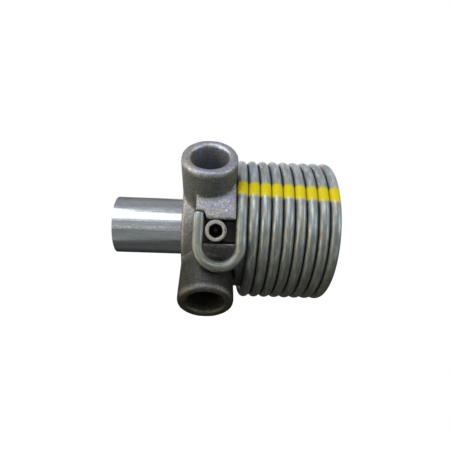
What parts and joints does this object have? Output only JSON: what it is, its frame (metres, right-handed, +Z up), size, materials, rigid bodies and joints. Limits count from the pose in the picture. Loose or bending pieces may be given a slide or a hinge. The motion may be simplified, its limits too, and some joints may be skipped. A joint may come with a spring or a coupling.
{
  "type": "garage door torsion spring",
  "caption": "Close-wound wire coil that counterbalances a garage door, hooked onto a cast winding cone with radial bar sockets, which set screws lock on a tube shaft.",
  "frame": {"origin": "on the shaft's axis, in the plane through the axes of the four winding sockets", "axes": "+X along the shaft from its bare end into the coil; -Y the front, where the set screw and the spring's hook are; +Z up"},
  "size_m": [0.0969, 0.072, 0.072],
  "materials": {
    "tube_steel": "satin",
    "cast_alloy": "rough as cast",
    "spring_wire": "oil-tempered, satin",
    "screw_steel": "satin"
  },
  "bodies": {
    "root": {"torsion_shaft": "tube_steel", "winding_cone": "cast_alloy", "torsion_spring": "spring_wire", "set_screw_front": "screw_steel", "set_screw_rear": "screw_steel"}
  },
  "joints": []
}
